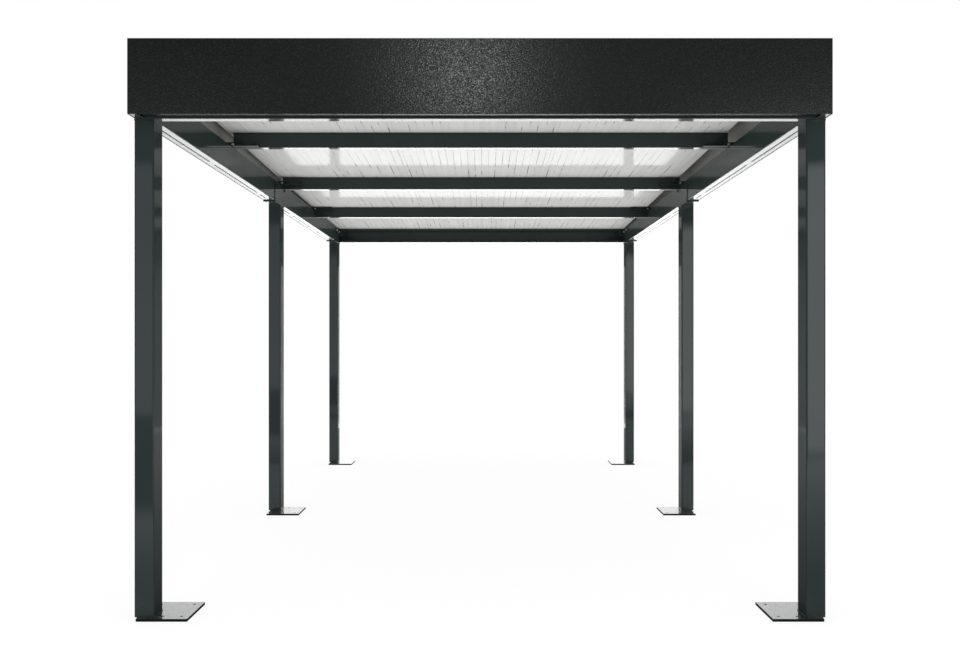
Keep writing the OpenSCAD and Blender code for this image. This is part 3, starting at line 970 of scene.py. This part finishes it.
def world():
    """White for the camera, even light for matt surfaces, and a studio for the gloss.

    A bright strip runs along the floor and up overhead behind the carport. The sides and front stay dim.
    """
    made = bpy.data.worlds.new("studio")
    made.use_nodes = True
    tree = made.node_tree
    tree.nodes.clear()
    way = add_node(tree, "ShaderNodeTexCoord").outputs["Generated"]
    x, y, z = coordinates(tree, way)
    aside = math_node(tree, "ADD", math_node(tree, "ABSOLUTE", x), 0.001)
    slope = math_node(tree, "DIVIDE", z, aside)
    below = remap(tree, slope, -0.58, -0.64, 0.0, STRIP_BELOW[0])
    more = remap(tree, slope, -0.72, -0.95, 0.0, STRIP_BELOW[1] - STRIP_BELOW[0])
    below = math_node(tree, "ADD", below, more)
    above = remap(tree, slope, 0.70, 0.80, 0.0, STRIP_ABOVE)
    sides = remap(tree, aside, 0.20, 0.34, *STUDIO_SIDES)
    strip = math_node(tree, "ADD", math_node(tree, "ADD", below, above), sides)
    front = remap(tree, z, -0.3, 0.3, STUDIO_FRONT_LOW, STUDIO_FRONT_HIGH)
    behind = remap(tree, y, -0.1, 0.1)
    gloss = blend(tree, behind, front, strip)
    rays = add_node(tree, "ShaderNodeLightPath").outputs
    level = blend(tree, rays["Is Glossy Ray"], STUDIO_LIGHT, gloss)
    seen = math_node(tree, "ADD", rays["Is Camera Ray"], rays["Is Transmission Ray"])
    level = blend(tree, seen, level, 1.0)
    light = add_node(tree, "ShaderNodeBackground", {"Color": (1, 1, 1, 1), "Strength": level})
    add_node(tree, "ShaderNodeOutputWorld", {"Surface": light.outputs[0]})
    bpy.context.scene.world = made


def card(name, corners, finish):
    """Flat four-sided card for the studio."""
    bm = bmesh.new()
    bm.faces.new([bm.verts.new(corner) for corner in corners])
    return mesh_object(name, bm, (finish,))


def floor():
    """Plain pale floor that ends behind the carport and keeps its soft shadow.

    In reflections it glows by place as painted light and shade: bright pools in front to the left and right,
    brighter beside the carport, and painted shadow inside under the roof.
    """
    made = new_material("floor")
    tree = made.node_tree
    x, y, _ = coordinates(tree, object_place(tree))
    rays = add_node(tree, "ShaderNodeLightPath").outputs
    matt = add_node(tree, "ShaderNodeBsdfDiffuse", {"Color": (0.19, 0.19, 0.19, 1)})
    glow = add_node(tree, "ShaderNodeEmission", {"Color": (1, 1, 1, 1), "Strength": FLOOR_GLOW})
    seen = add_node(tree, "ShaderNodeAddShader", {0: matt.outputs[0], 1: glow.outputs[0]})
    # Painted light and shade, seen only in reflections: pools of light in front to the right and left, and a
    # painted shadow under the roof between the posts, darkest at the front.
    right = math_node(tree, "MINIMUM", remap(tree, y, -7.0, -3.2, 2.3, 0.25),
                      remap(tree, y, -8.1, -7.8, 0.1, 2.3))
    left = math_node(tree, "MINIMUM", remap(tree, y, -5.3, -4.7, 0.25, 1.5),
                     remap(tree, y, -4.6, -2.9, 1.5, 0.5))
    level = blend(tree, math_node(tree, "GREATER_THAN", x, 0.0), left, right)
    past_front = remap(tree, y, -2.6, -2.5)
    level = blend(tree, past_front, level, 1.3)
    between_posts = remap(tree, math_node(tree, "ABSOLUTE", x), 1.46, 1.40)
    under_roof_shadow = math_node(tree, "MULTIPLY", between_posts, past_front)
    level = blend(tree, under_roof_shadow, level, remap(tree, y, -2.4, 2.0, 0.08, 0.55))
    dim = add_node(tree, "ShaderNodeEmission", {"Color": (1, 1, 1, 1), "Strength": level})
    surface = add_node(tree, "ShaderNodeMixShader",
                       {0: rays["Is Glossy Ray"], 1: seen.outputs[0], 2: dim.outputs[0]})
    add_node(tree, "ShaderNodeOutputMaterial", {"Surface": surface.outputs[0]})
    corners = ((-14, -12, FLOOR_LEVEL), (14, -12, FLOOR_LEVEL),
               (14, FLOOR_END, FLOOR_LEVEL), (-14, FLOOR_END, FLOOR_LEVEL))
    card("floor", corners, made)


def dark_card():
    """Dark card high behind the carport, seen only in reflections."""
    made = new_material("dark_card")
    tree = made.node_tree
    black = add_node(tree, "ShaderNodeEmission", {"Color": (1, 1, 1, 1), "Strength": 0.10})
    add_node(tree, "ShaderNodeOutputMaterial", {"Surface": black.outputs[0]})
    piece = card("dark_card", ((-3.2, 7.0, 2.3), (3.2, 7.0, 2.3), (3.2, 7.0, 4.4), (-3.2, 7.0, 4.4)), made)
    piece.visible_camera = False
    piece.visible_diffuse = False
    piece.visible_shadow = False


def softbox(name, place, target, size, radiance):
    """Area lamp of the given size and radiance that faces the target."""
    data = bpy.data.lights.new(name, "AREA")
    data.shape = "RECTANGLE"
    data.size, data.size_y = size
    data.energy = radiance * size[0] * size[1] * math.pi
    made = placed(name, data)
    made.location = place
    made.rotation_euler = (Vector(target) - Vector(place)).to_track_quat("-Z", "Y").to_euler()
    made.visible_camera = False


def lights():
    softbox("right_softbox", (3.45, -7.87, 1.51), (1.4, -2.5, 1.2), (2.2, 2.96), 3.4)
    softbox("left_softbox", (-3.45, -7.87, 1.71), (-1.4, -2.5, 1.3), (2.4, 2.58), 1.2)
    softbox("top_softbox", (-0.16, -7.87, 3.87), (-0.06, -2.6, 2.3), (0.45, 0.8), 13.4)


coat_frame()
plates_and_angles()
welds()
coat_roof()
roof_screws(frame_bolts())
anchor_plugs()
splice_straps()
drain_seals()
fascia_sheets()
joint_covers()
drip_edges()
fascia_rivets()
side_flashings()
coat_gutter()
camera()
world()
floor()
dark_card()
lights()

bpy.context.scene.view_settings.view_transform = "Standard"
